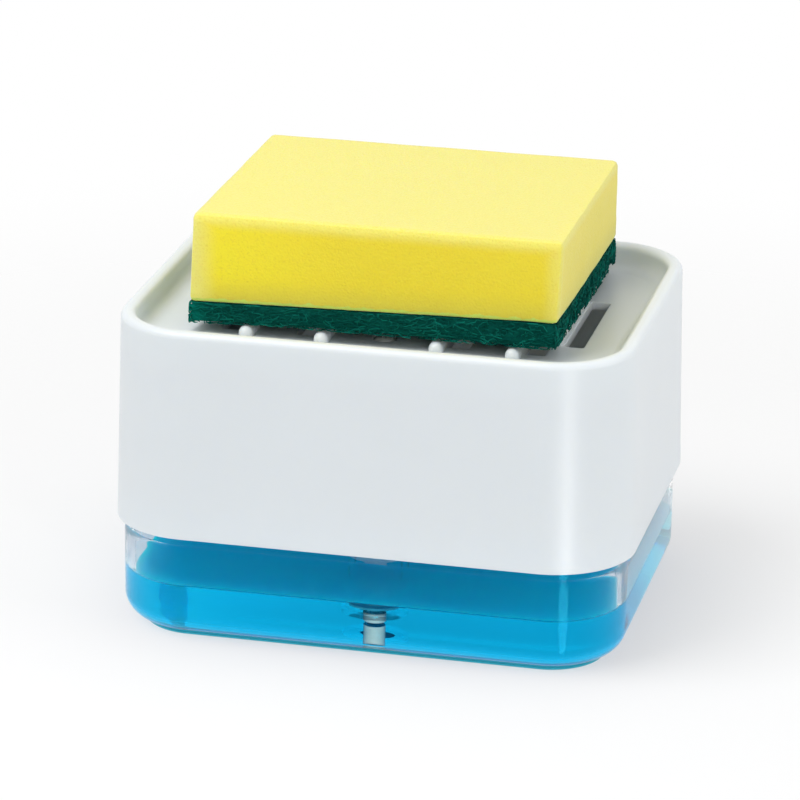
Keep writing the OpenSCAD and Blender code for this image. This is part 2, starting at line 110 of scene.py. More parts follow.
def sweep_round(outline, run_x, run_y, corner_steps):
    """Carries an outline of (outwards, height) points round a rounded rectangle and fills its flat middle."""
    mesh = bmesh.new()
    verts = [mesh.verts.new((run_x + out, -run_y, z)) for out, z in outline]
    chain = verts + [mesh.edges.new(pair) for pair in zip(verts, verts[1:])]
    for side in range(4):
        ahead = Matrix.Rotation(side * math.pi / 2, 3, "Z") @ Vector((0, 1, 0))
        length = 2 * (run_y if side % 2 == 0 else run_x)
        edges = [part for part in chain if isinstance(part, bmesh.types.BMEdge)]
        chain = bmesh.ops.extrude_edge_only(mesh, edges=edges)["geom"]
        moved = [part for part in chain if isinstance(part, bmesh.types.BMVert)]
        bmesh.ops.translate(mesh, verts=moved, vec=ahead * length)
        chain = [part for part in chain if not isinstance(part, bmesh.types.BMFace)]
        corner = Matrix.Rotation(side * math.pi / 2, 3, "Z") @ Vector((1, 1, 0))
        centre = (math.copysign(run_x, corner.x), math.copysign(run_y, corner.y), 0)
        chain = bmesh.ops.spin(mesh, geom=chain, cent=centre, axis=(0, 0, 1), dvec=(0, 0, 0),
                               angle=math.pi / 2, steps=corner_steps, use_duplicate=False)["geom_last"]
    bmesh.ops.remove_doubles(mesh, verts=mesh.verts, dist=0.001 * MM)
    bmesh.ops.holes_fill(mesh, edges=mesh.edges, sides=4)
    bmesh.ops.recalc_face_normals(mesh, faces=mesh.faces)
    return mesh


def make_piece(name, mesh, materials, body, sharp=35):
    """Turns a bmesh into an object, smooth but for its sharp edges, that rides on a body."""
    for face in mesh.faces:
        face.smooth = True
    for edge in mesh.edges:
        if len(edge.link_faces) == 2 and edge.calc_face_angle() > math.radians(sharp):
            edge.smooth = False
    data = bpy.data.meshes.new(name)
    mesh.to_mesh(data)
    mesh.free()
    for material in materials:
        data.materials.append(material)
    piece = bpy.data.objects.new(name, data)
    bpy.context.scene.collection.objects.link(piece)
    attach(piece, body)
    return piece


class Wire:
    """A socket of a material. Sums, differences and products of wires add their Math nodes."""

    def __init__(self, tree, socket=None):
        self.tree = tree
        self.socket = socket

    def node(self, kind, settings=None, sockets=None, out=0):
        """Adds a node, makes its settings, fills or links its sockets and returns one of its outputs."""
        made = self.tree.nodes.new(kind)
        for name, value in (settings or {}).items():
            setattr(made, name, value)
        for name, value in (sockets or {}).items():
            if isinstance(value, Wire):
                self.tree.links.new(value.socket, made.inputs[name])
            else:
                made.inputs[name].default_value = value
        return Wire(self.tree, made.outputs[out])

    def work_out(self, operation, first, second):
        """One step of arithmetic, by a Math node."""
        return self.node("ShaderNodeMath", {"operation": operation}, {0: first, 1: second})

    def __add__(self, other):
        return self.work_out("ADD", self, other)

    def __sub__(self, other):
        return self.work_out("SUBTRACT", self, other)

    def __rsub__(self, other):
        return self.work_out("SUBTRACT", other, self)

    def __mul__(self, other):
        return self.work_out("MULTIPLY", self, other)

    __radd__ = __add__
    __rmul__ = __mul__

    def place(self):
        """The point that is shaded, on Object coordinates in metres."""
        return self.node("ShaderNodeTexCoord", out="Object")

    def place_on(self, axis):
        """How far along an axis the shaded point is."""
        return self.node("ShaderNodeSeparateXYZ", sockets={0: self.place()}, out=axis)

    def noise(self, scale, detail=2, roughness=0.5):
        """Noise from 0 to 1, with a scale in features to the metre."""
        return self.node("ShaderNodeTexNoise", sockets={
            "Vector": self.place(), "Scale": scale, "Detail": detail, "Roughness": roughness})

    def blend(self, share, first, second):
        """Mixes two colours."""
        colours = [(*c, 1) if isinstance(c, tuple) else c for c in (first, second)]
        return self.node("ShaderNodeMix", {"data_type": "RGBA"},
                         {0: share, 6: colours[0], 7: colours[1]}, out=2)

    def ramp(self, value, start, end):
        """Goes smoothly from 0 to 1 while a value goes from start to end."""
        return self.node("ShaderNodeMapRange", {"interpolation_type": "SMOOTHSTEP"},
                         {"Value": value, "From Min": start, "From Max": end})

    def most(self, *values):
        """The greatest of some values."""
        greatest = values[0]
        for value in values[1:]:
            greatest = self.work_out("MAXIMUM", greatest, value)
        return greatest

    def seen_rays(self):
        """1 for rays from the camera, and for those that it sends on through glass or off a gloss."""
        rays = [self.node("ShaderNodeLightPath", out=kind)
                for kind in ("Is Camera Ray", "Is Glossy Ray", "Is Transmission Ray")]
        return self.most(*rays)

    def bump(self, height, distance, strength=1):
        """A normal from a height in units of a distance."""
        return self.node("ShaderNodeBump", sockets={
            "Height": height, "Distance": distance, "Strength": strength})


def start_material(name):
    """An empty material and the wire that its nodes start from."""
    material = bpy.data.materials.new(name)
    material.use_nodes = True
    material.node_tree.nodes.clear()
    return material, Wire(material.node_tree)


def end_material(wire, surface, volume=None, lit_through=None):
    """Gives a material its surface, what fills it and the colour of lamp light that it lets through."""
    if lit_through:
        open_way = wire.node("ShaderNodeBsdfTransparent", sockets={"Color": (*lit_through, 1)})
        for ray in ("Is Diffuse Ray", "Is Shadow Ray"):
            path = wire.node("ShaderNodeLightPath", out=ray)
            surface = wire.node("ShaderNodeMixShader", sockets={0: path, 1: surface, 2: open_way})
    ends = {"Surface": surface}
    if volume:
        ends["Volume"] = volume
    output = wire.tree.nodes.new("ShaderNodeOutputMaterial")
    for name, value in ends.items():
        wire.tree.links.new(value.socket, output.inputs[name])


def close_material(wire, sockets):
    """Gives a material a Principled surface."""
    end_material(wire, wire.node("ShaderNodeBsdfPrincipled", sockets=sockets))


def see_through(wire):
    """A surface that light passes straight on."""
    return wire.node("ShaderNodeBsdfTransparent", sockets={"Color": CLEAR})


def clear_plastic(name, index, painted_blue_foot=False):
    """Clear moulded plastic with faint flow lines, which may have the soap's blue painted at its foot as
    painted light.
    """
    material, wire = start_material(name)
    flow = wire.noise(24, detail=3)
    colour = wire.blend(flow, *CLEAR_TONES)
    leaving = wire.node("ShaderNodeNewGeometry", out="Backfacing")
    if painted_blue_foot:
        # Painted light: the soap's blue painted low on the foot, on faces seen from outside.
        foot = wire.ramp(wire.place_on("Z"), PAINTED_BLUE_TOP + PAINTED_BLUE_FADE, PAINTED_BLUE_TOP)
        colour = wire.blend(foot * (1 - leaving), colour, PAINTED_SOAP_BLUE)
    bent = wire.node("ShaderNodeBsdfPrincipled", sockets={
        "Base Color": colour,
        "Roughness": flow * 0.02,
        "Transmission Weight": 1.0,
        "IOR": index,
        "Specular Tint": CLEAR_GLINT,
        "Normal": wire.bump(flow, CLEAR_RIPPLE)})
    surface = wire.node("ShaderNodeMixShader", sockets={
        0: leaving * STRAIGHT_OUT, 1: bent, 2: see_through(wire)})
    end_material(wire, surface, lit_through=LAMP_LIGHT_THROUGH)
    return material


tub_in = TUB_CORNER - TUB_WALL
foot_out = TUB_CORNER - FOOT_IN
foot_in = foot_out - FOOT_WIDTH
base_centre = (TUB_CORNER - TUB_BASE_ROUND, FOOT_HEIGHT + TUB_BASE_ROUND)
foot_angle = -math.degrees(math.acos((foot_out - base_centre[0]) / TUB_BASE_ROUND))
floor_centre = (tub_in - TUB_FLOOR_ROUND, TUB_FLOOR + TUB_FLOOR_ROUND)
shoulder_start = SHOULDER - SHOULDER_SOFT
wet_top = SOAP_LEVEL + MENISCUS
tub_outline = [(0, TUB_UNDERSIDE), (foot_in, TUB_UNDERSIDE)]
tub_outline += arc((foot_in + FOOT_EDGE, FOOT_EDGE), FOOT_EDGE, 180, 270, FOOT_STEPS)
tub_outline += arc((foot_out - FOOT_EDGE, FOOT_EDGE), FOOT_EDGE, 270, 360, FOOT_STEPS)
tub_outline += arc(base_centre, TUB_BASE_ROUND, foot_angle, 0, BASE_STEPS)
tub_outline += [(TUB_CORNER - SHOULDER_IN * (1 - out), shoulder_start + SHOULDER_SOFT * up)
                for out, up in arc((0, 0), 1, 0, 90, SHOULDER_STEPS)]
tub_outline += [(TUB_CORNER - SHOULDER_IN, TUB_HIGH.z), (tub_in, TUB_HIGH.z), (tub_in, wet_top)]
tub_outline += arc(floor_centre, TUB_FLOOR_ROUND, 0, -90, FLOOR_STEPS)
tub_outline += [(0, TUB_FLOOR)]
tub_mesh = sweep_round(tub_outline, RUN_X, RUN_Y, CORNER_STEPS)
# The soap wets the curved and upright faces that look inwards below its edge. They get the second material.
for face in tub_mesh.faces:
    centre = face.calc_center_median()
    core = Vector((min(max(centre.x, -RUN_X), RUN_X), min(max(centre.y, -RUN_Y), RUN_Y), centre.z))
    outwards = (centre - core).normalized()
    inside = face.normal.z - face.normal.dot(outwards) > 0.5
    face.material_index = int(inside and face.normal.z < LEVEL and centre.z < wet_top)
dry_styrene = clear_plastic("clear_styrene", STYRENE_INDEX, painted_blue_foot=True)
wet_styrene, wire = start_material("wetted_styrene")
end_material(wire, see_through(wire))
tub = make_piece("reservoir_tub", tub_mesh, [dry_styrene, wet_styrene], "tub")
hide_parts("reservoir")


# Soap
# Blue liquid soap, a little cloudy, that wets the tub all round and creeps a little way up its wall.
# Its sides and the wet wall let light pass straight on. Its bed mirrors the pump's foot, as a film of
# air under it would.

SOAP_BLUES = ((0.0, 0.54, 1.0), (0.0, 0.57, 1.0))
SOAP_TINT = (0.0, 0.874, 0.972, 1)
SOAP_DENSITY = 55.0
SOAP_INDEX = 1.12
SOAP_GLINT = (0.05, 0.6, 0.9, 1)
# How much of its surface hides what lies below, when it is seen from above.
SOAP_MILK = 0.85
SOAP_GLOW_DEPTH = 20 * MM
# The gap that keeps the faces of soap and tub apart.
SOAP_FILM = 0.04 * MM
MENISCUS_STEPS = 5

soap_outline = [(0, TUB_FLOOR + SOAP_FILM)]
soap_outline += arc(floor_centre, TUB_FLOOR_ROUND - SOAP_FILM, -90, 0, FLOOR_STEPS)
soap_outline += arc((tub_in - SOAP_FILM - MENISCUS, wet_top), MENISCUS, 0, -90, MENISCUS_STEPS)
soap_outline += [(0, SOAP_LEVEL)]
soap_mesh = sweep_round(soap_outline, RUN_X, RUN_Y, CORNER_STEPS)
# Sides, surface and bed, in the order of the three materials below.
for face in soap_mesh.faces:
    top = face.calc_center_median().z > SOAP_LEVEL - SOAP_FILM / 4
    face.material_index = 1 if top else 2 if face.normal.z < -LEVEL else 0


def soap_depth(wire):
    """What makes the soap bluer, the deeper one looks into it."""
    return wire.node("ShaderNodeVolumeAbsorption", sockets={"Color": SOAP_TINT, "Density": SOAP_DENSITY})


def soap_face(wire):
    """The clear face of the soap, which turns into a mirror when seen from inside at a low angle."""
    return wire.node("ShaderNodeBsdfPrincipled", sockets={
        "Base Color": wire.blend(wire.noise(30), (0.97, 1.0, 1.0), (1.0, 1.0, 1.0)),
        "Roughness": 0.0,
        "Transmission Weight": 1.0,
        "IOR": SOAP_INDEX,
        "Specular Tint": SOAP_GLINT})


blue_soap, wire = start_material("blue_soap")
end_material(wire, see_through(wire), soap_depth(wire))

soap_surface, wire = start_material("soap_surface")
cloudy = wire.node("ShaderNodeBsdfPrincipled", sockets={
    "Base Color": wire.blend(wire.noise(30), *SOAP_BLUES),
    "Roughness": 0.03,
    "Specular IOR Level": 0.0,
    "Subsurface Weight": 1.0,
    "Subsurface Radius": (0.3, 0.8, 1.0),
    "Subsurface Scale": SOAP_GLOW_DEPTH})
from_above = 1 - wire.node("ShaderNodeNewGeometry", out="Backfacing")
surface = wire.node("ShaderNodeMixShader", sockets={
    0: from_above * SOAP_MILK, 1: soap_face(wire), 2: cloudy})
end_material(wire, surface, soap_depth(wire), lit_through=(1.0, 1.0, 1.0))

soap_bed, wire = start_material("soap_bed")
end_material(wire, soap_face(wire), soap_depth(wire), lit_through=(1.0, 1.0, 1.0))
soap = make_piece("soap_fill", soap_mesh, [blue_soap, soap_surface, soap_bed], "tub")
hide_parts("liquid_soap")


# Deck, guide posts and neck
# The lid of the tub, moulded in one piece in white styrene and welded to the tub's edge.
# Its underside shows through the clear wall, above the soap.

CLOUD_SHADE = 0.965
MOULD_GRAIN = 0.006 * MM
GLOW_DEPTH = 2.5 * MM


def white_plastic(name, colour, roughness, glow=0.0):
    """White moulded plastic with faint flow clouds, the grain of its mould and a share of light inside."""
    material, wire = start_material(name)
    cloud = wire.noise(18, detail=3)
    fine = wire.noise(2600, detail=1)
    shade = tuple(part * CLOUD_SHADE for part in colour)
    close_material(wire, {
        "Base Color": wire.blend(cloud, colour, shade),
        "Roughness": wire.noise(60) * 0.08 + roughness,
        "IOR": 1.5,
        "Subsurface Weight": glow,
        "Subsurface Radius": (1.0, 0.95, 0.85),
        "Subsurface Scale": GLOW_DEPTH,
        "Normal": wire.bump(fine, MOULD_GRAIN)})
    return material


def dress(node, material):
    """Gives a CAD node its material."""
    nodes[node].data.materials.clear()
    nodes[node].data.materials.append(material)


dress("reservoir_deck", white_plastic("deck_white", (0.78, 0.80, 0.81), roughness=0.35))


# Pump
# A bottle pump that hangs in the neck by its screw collar: a clear cylinder with white pieces inside, all
# moulded, and a spring and two balls of steel. Where the cylinder stands in soap its walls nearly vanish,
# because soap bends light almost as plastic does.

# The cylinder's index against soap.
CYLINDER_INDEX = 1.06

pump_white = white_plastic("pump_polypropylene", (0.80, 0.80, 0.78), roughness=0.42)
for node in ("ball_cage", "stem_guide", "stem_tube", "piston_rod", "piston_seal"):
    dress(node, pump_white)
dress("dip_tube", white_plastic("tube_polyethylene", (0.95, 0.94, 0.90), roughness=0.4))
dress("pump_collar", white_plastic("collar_polypropylene", (0.82, 0.83, 0.83), roughness=0.4))
dress("outlet_nozzle", white_plastic("nozzle_white", (0.84, 0.84, 0.83), roughness=0.25))
dress("pump_cylinder", clear_plastic("clear_polypropylene", CYLINDER_INDEX))

gasket_rubber, wire = start_material("gasket_rubber")
close_material(wire, {
    "Base Color": wire.blend(wire.noise(300), (0.42, 0.43, 0.44), (0.50, 0.51, 0.52)),
    "Roughness": 0.7})
dress("neck_gasket", gasket_rubber)

spring_steel, wire = start_material("spring_steel")
drawn = wire.noise(1500)
close_material(wire, {
    "Base Color": wire.blend(drawn, (0.55, 0.56, 0.58), (0.68, 0.69, 0.70)),
    "Metallic": 1.0,
    "Roughness": drawn * 0.15 + 0.22})
for node in ("return_spring", "inlet_ball", "outlet_ball"):
    dress(node, spring_steel)
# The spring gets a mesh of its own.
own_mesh(nodes["return_spring"])


# Press top
# The white cover: skirt, rim and drained tray in one moulding with a satin gloss, a little translucent.
# It stands on the stem's flange, and the deck's two posts keep it level.

dress("press_top", white_plastic("press_top_white", (0.75, 0.795, 0.82), roughness=0.32, glow=0.7))


# Foam
# The sponge's yellow layer: open-cell foam, cut from a slab with its ends a little out of true. Its colour is
# painted paler at its edges and top, partly for wear and partly as painted sheen and light, brighter towards
# its left end as painted light, and darker low down as painted shade, with painted shade in its pores. It is
# thicker towards its left end, where the seam to the pad lies lower.

FOAM_LOW, FOAM_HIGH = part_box("sponge_foam")
PAD_LOW, PAD_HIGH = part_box("scour_pad")
FOAM_EDGE = 1.4 * MM
FOAM_STEP = 1.1 * MM
END_LEAN = 1.0 * MM
LEFT_ASKEW = 0.8 * MM
# How far the seam drops and the pad sags at the left end, and the share of the length where each ends.
SEAM_DROP = 2.1 * MM
SEAM_DROP_END = 0.9
PAD_SAG = 0.9 * MM
PAD_SAG_END = 0.22
FOAM_SWELL = 0.25 * MM
FOAM_SWELL_SCALE = 60
FOAM_PITS = 0.10 * MM
FOAM_PITS_SCALE = 700
FOAM_BUMPS = 0.22 * MM
FOAM_YELLOWS = ((0.89, 0.735, 0.028), (0.86, 0.70, 0.020))
# Painted light: a brighter yellow towards the left end, where the lamp from the upper left falls.
FOAM_PAINTED_LIGHT_LEFT = (0.98, 0.82, 0.018)
# Painted shade: a darker, greener yellow low on the sponge, fading out over PAINTED_SHADE_HEIGHT above the
# seam.
FOAM_PAINTED_SHADE = (0.72, 0.62, 0.05)
# The pale tone of the edges and top: partly wear, partly painted sheen and light.
FOAM_WEAR_AND_SHEEN = (0.87, 0.80, 0.185)
# Painted shade: a darker yellow in the pores, for the shade inside the open cells.
FOAM_PORE_SHADE = (0.72, 0.56, 0.03)
FOAM_GLOW_DEPTH = 3 * MM
PAINTED_SHADE_HEIGHT = 9 * MM
# How far the pale tone reaches in from the left end, the top, the front right corner and the right end, and
# how strong each of them is. It is partly wear and partly painted sheen and light on the foam's edges and
# top.
WEAR_SHEEN_LEFT = 9 * MM
WEAR_SHEEN_LEFT_SHARE = 1.2
WEAR_SHEEN_TOP = 4.5 * MM
WEAR_SHEEN_TOP_FULL = 0.8 * MM
WEAR_SHEEN_TOP_SHARE = 0.85
WEAR_SHEEN_CORNER = 6 * MM
WEAR_SHEEN_CORNER_FULL = 1 * MM
WEAR_SHEEN_CORNER_SHARE = 0.65
WEAR_SHEEN_RIGHT = 3 * MM
WEAR_SHEEN_RIGHT_SHARE = 0.25
# The ragged line of glue and green fibre along the seam.
SEAM_GREEN = (0.60, 0.80, 0.13)
SEAM_RAGGED = 1.8 * MM
SEAM_RISE = 0.2 * MM
SEAM_FADE = 0.45 * MM
SEAM_SHARE = 0.85
PORE_SHADE_SHARE = 0.35


def soft_block(low, high, edge, spacing):
    """A block with rounded edges, divided into a grid of about the spacing."""
    mesh = bmesh.new()
    bmesh.ops.create_cube(mesh, size=1)
    size = high - low
    bmesh.ops.scale(mesh, vec=size, verts=mesh.verts)
    bmesh.ops.translate(mesh, vec=(low + high) / 2, verts=mesh.verts)
    for axis in range(3):
        cuts = round(size[axis] / spacing)
        normal = Vector([1 if i == axis else 0 for i in range(3)])
        for i in range(cuts):
            share = edge / size[axis] + (1 - 2 * edge / size[axis]) * i / (cuts - 1)
            point = low + size * share
            bmesh.ops.bisect_plane(mesh, geom=list(mesh.verts) + list(mesh.edges) + list(mesh.faces),
                                   plane_co=point, plane_no=normal, dist=0.0001 * MM)
    inner_low = low + Vector((edge, edge, edge))
    inner_high = high - Vector((edge, edge, edge))
    for vert in mesh.verts:
        core = Vector([min(max(vert.co[i], inner_low[i]), inner_high[i]) for i in range(3)])
        out = vert.co - core
        if out.length > edge * 1.001:
            vert.co = core + out.normalized() * edge
    return mesh


def askew(point):
    """How a point of the sponge moves from its place in a true block."""
    along = (point.x - FOAM_LOW.x) / (FOAM_HIGH.x - FOAM_LOW.x)
    back = (point.y - FOAM_LOW.y) / (FOAM_HIGH.y - FOAM_LOW.y)
    up = (point.z - FOAM_LOW.z) / (FOAM_HIGH.z - FOAM_LOW.z)
    pad_up = min((point.z - PAD_LOW.z) / (PAD_HIGH.z - PAD_LOW.z), 1)
    left_in = END_LEAN * up + LEFT_ASKEW * back
    right_in = END_LEAN * (1 - up) * (1 - back) ** 2
    seam_drop = SEAM_DROP * max(1 - along / SEAM_DROP_END, 0)
    pad_sag = PAD_SAG * max(1 - along / PAD_SAG_END, 0)
    drop = (seam_drop * pad_up + pad_sag * (1 - pad_up)) * (1 - max(up, 0))
    return Vector((left_in * (1 - along) - right_in * along, 0, -drop))


foam_mesh = soft_block(FOAM_LOW, FOAM_HIGH, FOAM_EDGE, FOAM_STEP)
foam_centre = (FOAM_LOW + FOAM_HIGH) / 2
for vert in foam_mesh.verts:
    swell = noise.noise(vert.co * FOAM_SWELL_SCALE) * FOAM_SWELL
    pit = noise.noise(vert.co * FOAM_PITS_SCALE) * FOAM_PITS
    away = vert.co - foam_centre
    away.normalize()
    vert.co = vert.co - away * (abs(swell) + abs(pit))
    vert.co += askew(vert.co)

foam_yellow, wire = start_material("yellow_foam")
along, across, height = (wire.place_on(axis) for axis in "XYZ")
cells = wire.node("ShaderNodeTexVoronoi", {"feature": "SMOOTH_F1"},
                  {"Vector": wire.place(), "Scale": 1500.0, "Smoothness": 0.4}, out="Distance")
pores = wire.noise(1900, detail=3, roughness=0.6)
right_tone = wire.blend(wire.noise(45), *FOAM_YELLOWS)
# Painted light: the yellow turns brighter towards the left end.
left_lit_tone = wire.blend(wire.ramp(along, foam_centre.x, FOAM_LOW.x), right_tone, FOAM_PAINTED_LIGHT_LEFT)
seam_end = FOAM_LOW.x + SEAM_DROP_END * (FOAM_HIGH.x - FOAM_LOW.x)
seam_drop = wire.most((seam_end - along) * (SEAM_DROP / (seam_end - FOAM_LOW.x)), 0.0)
above_seam = height + seam_drop - FOAM_LOW.z
# Painted shade: darker and greener near the seam.
shaded_tone = wire.blend(wire.ramp(above_seam, 0.0, PAINTED_SHADE_HEIGHT), FOAM_PAINTED_SHADE, left_lit_tone)
# Painted sheen and light, with some wear: paler at the left end, the top, the front right corner and the
# right end.
wear_sheen_left = wire.ramp(along, FOAM_LOW.x + WEAR_SHEEN_LEFT, FOAM_LOW.x)
wear_sheen_right = wire.ramp(along, FOAM_HIGH.x - WEAR_SHEEN_RIGHT, FOAM_HIGH.x)
from_corner = wire.most(FOAM_HIGH.x - along, across - FOAM_LOW.y)
wear_sheen_corner = wire.ramp(from_corner, WEAR_SHEEN_CORNER, WEAR_SHEEN_CORNER_FULL)
wear_sheen_top = wire.ramp(height, FOAM_HIGH.z - WEAR_SHEEN_TOP, FOAM_HIGH.z - WEAR_SHEEN_TOP_FULL)
wear_and_sheen = wire.most(wear_sheen_left * WEAR_SHEEN_LEFT_SHARE, wear_sheen_top * WEAR_SHEEN_TOP_SHARE,
                 wear_sheen_corner * WEAR_SHEEN_CORNER_SHARE, wear_sheen_right * WEAR_SHEEN_RIGHT_SHARE)
seam_height = wire.noise(420) * SEAM_RAGGED + SEAM_RISE
seam = wire.ramp(above_seam - seam_height, SEAM_FADE, 0.0)
seamed = wire.blend(seam * SEAM_SHARE, wire.blend(wear_and_sheen, shaded_tone, FOAM_WEAR_AND_SHEEN), SEAM_GREEN)
close_material(wire, {
    # The pores are painted darker, as shade inside the open cells.
    "Base Color": wire.blend(wire.ramp(pores, 0.50, 0.28) * PORE_SHADE_SHARE, seamed, FOAM_PORE_SHADE),
    "Roughness": 0.9,
    "Subsurface Weight": 0.5,
    "Subsurface Radius": (1.0, 0.8, 0.15),
    "Subsurface Scale": FOAM_GLOW_DEPTH,
    "Sheen Weight": 0.35,
    "Sheen Roughness": 0.5,
    "Normal": wire.bump(cells + pores, FOAM_BUMPS, strength=0.5)})
foam = make_piece("foam_layer", foam_mesh, [foam_yellow], "sponge", sharp=80)
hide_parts("sponge_foam")


# Scouring pad
# The sponge's dark green layer: coarse non-woven fibre bound with resin, glued under the foam.
# It has a dense core with a ragged cut edge, and loose strands round it.

PAD_EDGE = 0.9 * MM
PAD_STEP = 1.4 * MM
PAD_IN = 0.5 * MM
PAD_RAGGED = 0.35 * MM
PAD_RAGGED_SCALE = 420
PAD_FRAYED = 0.2 * MM
PAD_FRAYED_SCALE = 1100
PAD_BUMPS = 0.4 * MM
# Dark and light green of the core and of the strands, and a paler green painted at the pad's left end as
# painted light.
CORE_GREENS = ((0.0, 0.052, 0.041), (0.002, 0.13, 0.10))
STRAND_GREENS = ((0.0, 0.072, 0.057), (0.006, 0.21, 0.16))
LIT_END_GREEN = (0.0, 0.22, 0.165)
LIT_END_START = 7 * MM
LIT_END_FULL = 1 * MM
LIT_END_SHARE = 0.6
FIBRES = 2600
FIBRE_SEED = 11
FIBRE_BENDS = 8
FIBRE_STRIDE = 0.75 * MM
FIBRE_THICK = 0.30 * MM
FIBRE_DEPTH = 0.8 * MM
FIBRE_LOWEST = 0.3 * MM
# How far strands slant at their start and curl at a bend, in radians, how far a bend takes them in or out,
# and how much less they climb than run.
FIBRE_SLANT = 0.5
FIBRE_CURL = 0.55
FIBRE_WEAVE = 0.12 * MM
FIBRE_CLIMB = 0.6

core_low = PAD_LOW + Vector((PAD_IN, PAD_IN, PAD_IN))
core_high = PAD_HIGH - Vector((PAD_IN, PAD_IN, 0))
pad_mesh = soft_block(core_low, core_high, PAD_EDGE, PAD_STEP)
pad_centre = (PAD_LOW + PAD_HIGH) / 2
for vert in pad_mesh.verts:
    ragged = noise.noise(vert.co * PAD_RAGGED_SCALE) * PAD_RAGGED
    frayed = noise.noise(vert.co * PAD_FRAYED_SCALE) * PAD_FRAYED
    away = Vector((vert.co.x - pad_centre.x, vert.co.y - pad_centre.y, 0))
    away.normalize()
    vert.co = vert.co - away * abs(ragged + frayed)
    vert.co += askew(vert.co)


def fibre_green(name, greens, tone=None):
    """Green abrasive fibre in two tones, by noise or by an attribute, with painted light at the pad's left
    end.
    """
    material, wire = start_material(name)
    matted = wire.noise(800, detail=4, roughness=0.7)
    share = wire.node("ShaderNodeAttribute", {"attribute_name": tone}, out="Fac") if tone else matted
    # Painted light: the green turns paler towards the pad's left end, where the lamp from the left falls.
    lit_end = wire.ramp(wire.place_on("X"), PAD_LOW.x + LIT_END_START, PAD_LOW.x + LIT_END_FULL) * LIT_END_SHARE
    close_material(wire, {
        "Base Color": wire.blend(lit_end, wire.blend(share, *greens), LIT_END_GREEN),
        "Roughness": 0.75,
        "Specular IOR Level": 0.05,
        "Normal": wire.bump(matted, PAD_BUMPS)})
    return material


pad_green = fibre_green("scouring_green", CORE_GREENS)
pad = make_piece("scouring_layer", pad_mesh, [pad_green], "sponge", sharp=80)
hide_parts("scour_pad")

chance = random.Random(FIBRE_SEED)
strands = bpy.data.curves.new("scouring_strands", "CURVE")
strands.dimensions = "3D"
strands.bevel_depth = FIBRE_THICK / 2
strands.bevel_resolution = 0
size = PAD_HIGH - PAD_LOW
for strand in range(FIBRES):
    side = chance.choices(("front", "back", "left", "right"), (size.x, size.x, size.y, size.y))[0]
    wide = size.x if side in ("front", "back") else size.y
    across = chance.uniform(0, wide)
    up = chance.uniform(FIBRE_LOWEST, size.z)
    heading = chance.gauss(0, FIBRE_SLANT) + chance.choice((0, math.pi))
    sink = chance.uniform(0.1, 1.0) * FIBRE_DEPTH
    line = strands.splines.new("POLY")
    line.points.add(FIBRE_BENDS - 1)
    for point in line.points:
        inside = min(max(across, FIBRE_THICK), wide - FIBRE_THICK)
        rise = min(max(up, FIBRE_THICK), size.z - FIBRE_THICK / 4)
        deep = max(sink, FIBRE_THICK / 2)
        x, y = {"front": (inside, deep), "back": (inside, size.y - deep),
                "left": (deep, inside), "right": (size.x - deep, inside)}[side]
        spot = PAD_LOW + Vector((x, y, rise))
        point.co = (*(spot + askew(spot)), 1)
        heading += chance.gauss(0, FIBRE_CURL)
        sink += chance.gauss(0, FIBRE_WEAVE)
        across += math.cos(heading) * FIBRE_STRIDE
        up += math.sin(heading) * FIBRE_STRIDE * FIBRE_CLIMB
bundle = bpy.data.objects.new("scouring_strands", strands)
fibre_data = bpy.data.meshes.new_from_object(bundle)
bpy.data.objects.remove(bundle)
# Most strands are dark and a few are light.
tones = [chance.random() ** 3 for strand in range(FIBRES)]
per_strand = len(fibre_data.vertices) / FIBRES
tone = fibre_data.attributes.new("tone", "FLOAT", "POINT")
for index, entry in enumerate(tone.data):
    entry.value = tones[int(index / per_strand)]
fibre_data.materials.clear()
fibre_data.materials.append(fibre_green("strand_green", STRAND_GREENS, "tone"))
fibre_data.shade_smooth()
fibres = bpy.data.objects.new("scouring_fibres", fibre_data)
bpy.context.scene.collection.objects.link(fibres)
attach(fibres, "sponge")


# Floor, light and camera
# A pale floor that keeps the shadow, soft light from the upper left and the right, and a camera fitted to
# the edges of the caddy and the sponge in the photograph. A card that only shines in gloss lies on the floor.

CAMERA_TURN = math.radians(12.80)
CAMERA_RISE = math.radians(19.41)
CAMERA_ROLL = math.radians(0.76)
CAMERA_DISTANCE = 1.233
CAMERA_LENS = 201.8
CAMERA_SENSOR = 36
CAMERA_AIM = Vector((-1.38, -0.31, 54.76)) * MM
CAMERA_NEAR = 0.05
WHITE = (1, 1, 1, 1)
FLOOR_REACH = 6
FLOOR_PALE = (0.9, 0.9, 0.9, 1)
# The floor's own light softens the shadow, and the floor fades into the background.
FLOOR_LIFT = 0.45
FLOOR_FADE_START = 0.16
FLOOR_FADE_END = 0.42
# The card fans out from the front right corner, and a highlight climbs the corner from it.
GLINT_NEAR = 8 * MM
GLINT_FAR = 330 * MM
GLINT_LIFT = 0.5 * MM
GLINT_START = math.radians(21)
GLINT_HEADING = math.radians(30)
GLINT_SPREAD = math.radians(8)
GLINT_STRENGTH = 8.0
LIT_POINT = Vector((0, 0, 0.06))
# The dip tube has a small warm lamp of its own, because it looks almost grey through the blue soap.
TUBE_LAMP_AWAY = Vector((0.02, -0.09, 0))
TUBE_LAMP_SIZE = (0.02, 0.008)
TUBE_LAMP_POWER = 0.47
TUBE_LAMP_COLOUR = (1.0, 0.094, 0.051)
AMBIENT = 0.6
BOUNCES = 24

